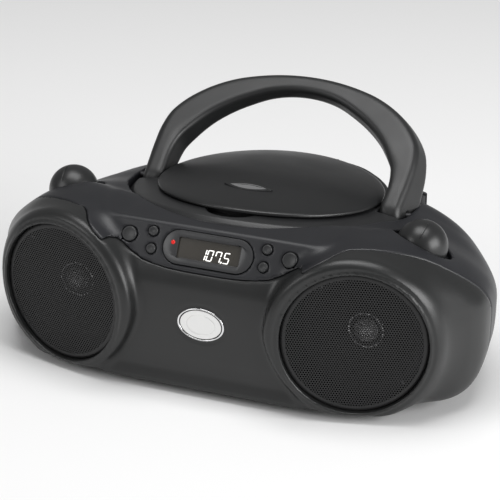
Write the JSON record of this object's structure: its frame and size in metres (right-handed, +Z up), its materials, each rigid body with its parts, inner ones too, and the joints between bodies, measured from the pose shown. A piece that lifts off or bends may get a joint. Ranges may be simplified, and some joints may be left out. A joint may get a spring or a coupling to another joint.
{
  "type": "compact cd boombox",
  "caption": "Portable stereo with curved charcoal cabinet, round speaker pods, top-loading disc lid, folding carry handle, domed knobs, display and telescopic aerial.",
  "frame": {"origin": "centre of the footprint of the whole object, on the plane its feet stand on", "axes": "+X to the listener's right, -Y is the front with the speakers, +Z up"},
  "size_m": [0.3102, 0.2095, 0.1467],
  "materials": {
    "front_plastic": "satin moulded",
    "rear_plastic": "satin moulded, slightly blue",
    "deck_plastic": "satin moulded",
    "lid_plastic": "satin moulded",
    "handle_plastic": "satin moulded",
    "knob_plastic": "satin moulded",
    "key_plastic": "satin moulded",
    "bezel_plastic": "satin, dark grey",
    "window_plastic": "clear smoked window",
    "display_face": "dark display with pale digits",
    "red_lamp": "red indicator",
    "grille_metal": "black perforated sheet",
    "basket_metal": "black",
    "magnet": "sintered magnet",
    "cone_paper": "pressed black cone",
    "chrome_trim": "polished",
    "foot_rubber": "matte",
    "screw_steel": "plated",
    "pin_steel": "ground",
    "motor_steel": "plated can",
    "board": "circuit board with parts",
    "well_plastic": "black moulded",
    "switch_plastic": "moulded case",
    "contact_metal": "nickel-plated spring",
    "core_iron": "laminated core",
    "ferrite": "sintered rod",
    "sled_plastic": "moulded carriage",
    "lens_glass": "small clear lens",
    "aerial_chrome": "polished tube"
  },
  "bodies": {
    "housing": {"front_cabinet": "front_plastic", "rear_cabinet": "rear_plastic", "feet": "foot_rubber", "case_screws": "screw_steel", "speaker_screws": "screw_steel", "grille_left": "grille_metal", "grille_right": "grille_metal", "speaker_basket_left": "basket_metal", "speaker_basket_right": "basket_metal", "speaker_magnet_left": "magnet", "speaker_magnet_right": "magnet", "speaker_cone_left": "cone_paper", "speaker_cone_right": "cone_paper", "display_bezel": "bezel_plastic", "display_window": "window_plastic", "display_module": "display_face", "power_light": "red_lamp", "control_board": "board", "emblem_ring": "chrome_trim", "emblem_plate": "chrome_trim", "deck_surround": "deck_plastic", "lid_hinge_pins": "pin_steel", "disc_well": "well_plastic", "spindle_motor": "motor_steel", "sled_rails": "pin_steel", "sled_motor": "motor_steel", "drive_chassis": "well_plastic", "handle_pins": "pin_steel", "function_switch": "switch_plastic", "volume_control": "switch_plastic", "battery_bay": "well_plastic", "battery_contacts": "contact_metal", "transformer": "core_iron", "main_board": "board", "ferrite_aerial": "ferrite", "mains_inlet": "well_plastic", "audio_jack": "well_plastic"},
    "lid": {"disc_lid": "lid_plastic", "lid_badge": "chrome_trim"},
    "handle": {"carry_handle": "handle_plastic"},
    "disc_spindle": {"disc_hub": "well_plastic"},
    "sled": {"pickup_sled": "sled_plastic", "pickup_lens": "lens_glass"},
    "screw": {"lead_screw": "pin_steel"},
    "function_dial": {"function_knob": "knob_plastic"},
    "volume_dial": {"volume_knob": "knob_plastic"},
    "door": {"battery_door": "rear_plastic"},
    "aerial_swivel": {"aerial_base": "aerial_chrome"},
    "aerial_lower": {"aerial_lower_tube": "aerial_chrome"},
    "aerial_middle": {"aerial_middle_tube": "aerial_chrome"},
    "aerial_end": {"aerial_tip": "aerial_chrome"},
    "key_left_big": {"button_left_big": "key_plastic"},
    "key_left_upper": {"button_left_upper": "key_plastic"},
    "key_left_lower": {"button_left_lower": "key_plastic"},
    "key_right_big": {"button_right_big": "key_plastic"},
    "key_right_upper": {"button_right_upper": "key_plastic"},
    "key_right_lower": {"button_right_lower": "key_plastic"}
  },
  "joints": [
    {"name": "lid_hinge", "type": "hinge", "parent": "housing", "child": "lid", "pos_m": [0, 0.07578, 0.08681], "axis": [-1, 0, 0], "range_deg": [0, 16]},
    {"name": "handle_fold", "type": "hinge", "parent": "housing", "child": "handle", "pos_m": [0, 0.01787, 0.08701], "axis": [-1, 0, 0], "range_deg": [-40, 42]},
    {"name": "disc_turn", "type": "hinge", "parent": "housing", "child": "disc_spindle", "pos_m": [0, 0.01428, 0.08265], "axis": [0, 0.0872, 0.9962], "continuous": true},
    {"name": "sled_travel", "type": "slide", "parent": "housing", "child": "sled", "axis": [0, -0.9962, 0.0872], "range_m": [0, 0.033]},
    {"name": "screw_turn", "type": "hinge", "parent": "housing", "child": "screw", "pos_m": [0.025, 0.01355, 0.07429], "axis": [0, 0.9962, -0.0872], "range_deg": [0, 3970]},
    {"name": "function_turn", "type": "hinge", "parent": "housing", "child": "function_dial", "pos_m": [-0.1126, -0.032, 0.0934], "axis": [-0.2419, 0, 0.9703], "range_deg": [-35, 35]},
    {"name": "volume_turn", "type": "hinge", "parent": "housing", "child": "volume_dial", "pos_m": [0.1126, -0.032, 0.0934], "axis": [0.2419, 0, 0.9703], "range_deg": [-140, 140]},
    {"name": "press_left_big", "type": "slide", "parent": "housing", "child": "key_left_big", "axis": [0, 0.8761, -0.4822], "range_m": [0, 0.0012], "stiffness_N_per_m": 400, "springref_m": -0.0006},
    {"name": "press_left_upper", "type": "slide", "parent": "housing", "child": "key_left_upper", "axis": [0, 0.8761, -0.4822], "range_m": [0, 0.0012], "stiffness_N_per_m": 400, "springref_m": -0.0006},
    {"name": "press_left_lower", "type": "slide", "parent": "housing", "child": "key_left_lower", "axis": [0, 0.8761, -0.4822], "range_m": [0, 0.0012], "stiffness_N_per_m": 400, "springref_m": -0.0006},
    {"name": "press_right_big", "type": "slide", "parent": "housing", "child": "key_right_big", "axis": [0, 0.8761, -0.4822], "range_m": [0, 0.0012], "stiffness_N_per_m": 400, "springref_m": -0.0006},
    {"name": "press_right_upper", "type": "slide", "parent": "housing", "child": "key_right_upper", "axis": [0, 0.8761, -0.4822], "range_m": [0, 0.0012], "stiffness_N_per_m": 400, "springref_m": -0.0006},
    {"name": "press_right_lower", "type": "slide", "parent": "housing", "child": "key_right_lower", "axis": [0, 0.8761, -0.4822], "range_m": [0, 0.0012], "stiffness_N_per_m": 400, "springref_m": -0.0006},
    {"name": "door_swing", "type": "hinge", "parent": "housing", "child": "door", "pos_m": [0, 0.1022, 0.0235], "axis": [-1, 0, 0], "range_deg": [0, 95]},
    {"name": "aerial_turn", "type": "hinge", "parent": "housing", "child": "aerial_swivel", "pos_m": [0.07, 0.094, 0.067], "axis": [0, 0, -1], "range_deg": [0, 180]},
    {"name": "aerial_tilt", "type": "hinge", "parent": "aerial_swivel", "child": "aerial_lower", "pos_m": [0.07, 0.094, 0.067], "axis": [0, 1, 0], "range_deg": [0, 90]},
    {"name": "aerial_reach_middle", "type": "slide", "parent": "aerial_lower", "child": "aerial_middle", "axis": [-1, 0, 0], "range_m": [0, 0.1]},
    {"name": "aerial_reach_end", "type": "slide", "parent": "aerial_middle", "child": "aerial_end", "axis": [-1, 0, 0], "range_m": [0, 0.1]}
  ],
  "couplings": [
    {"joint": "screw_turn", "follows": "sled_travel", "rad_per_m": 2094.4}
  ]
}
